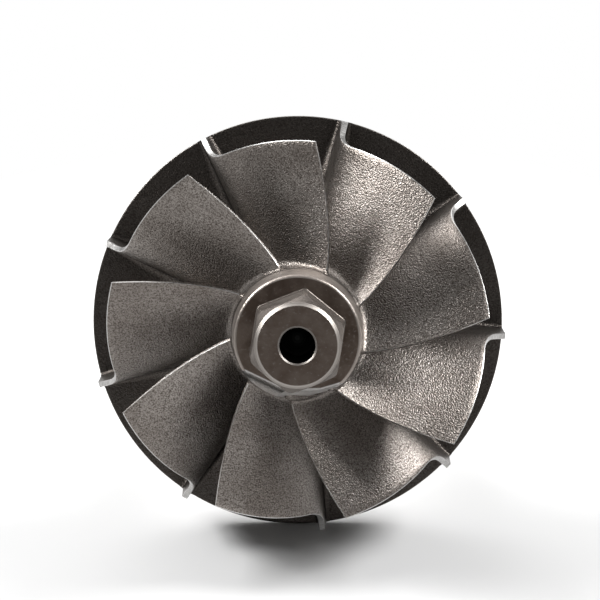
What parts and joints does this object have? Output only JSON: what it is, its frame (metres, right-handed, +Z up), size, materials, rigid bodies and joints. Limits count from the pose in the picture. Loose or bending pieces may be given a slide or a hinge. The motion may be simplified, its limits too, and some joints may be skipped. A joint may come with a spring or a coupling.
{
  "type": "turbine shaft wheel",
  "caption": "Radial-inflow turbocharger turbine wheel: back disc with twisted blades, hub with hexagon nose, and a welded stepped shaft with journals and a threaded end.",
  "frame": {"origin": "on the surface the rotor lies on, under the middle of its bounding box", "axes": "+Z up from the surface; the spin axis lies in the YZ plane, with the nose towards -Y and raised, and the shaft towards +Y; +X to the right seen from the nose"},
  "size_m": [0.06, 0.1282, 0.0614],
  "materials": {
    "cast_alloy": "sand-blasted cast nickel alloy with ground edges",
    "ground_steel": "ground"
  },
  "bodies": {
    "root": {"turbine_wheel": "cast_alloy", "rotor_shaft": "ground_steel"}
  },
  "joints": []
}
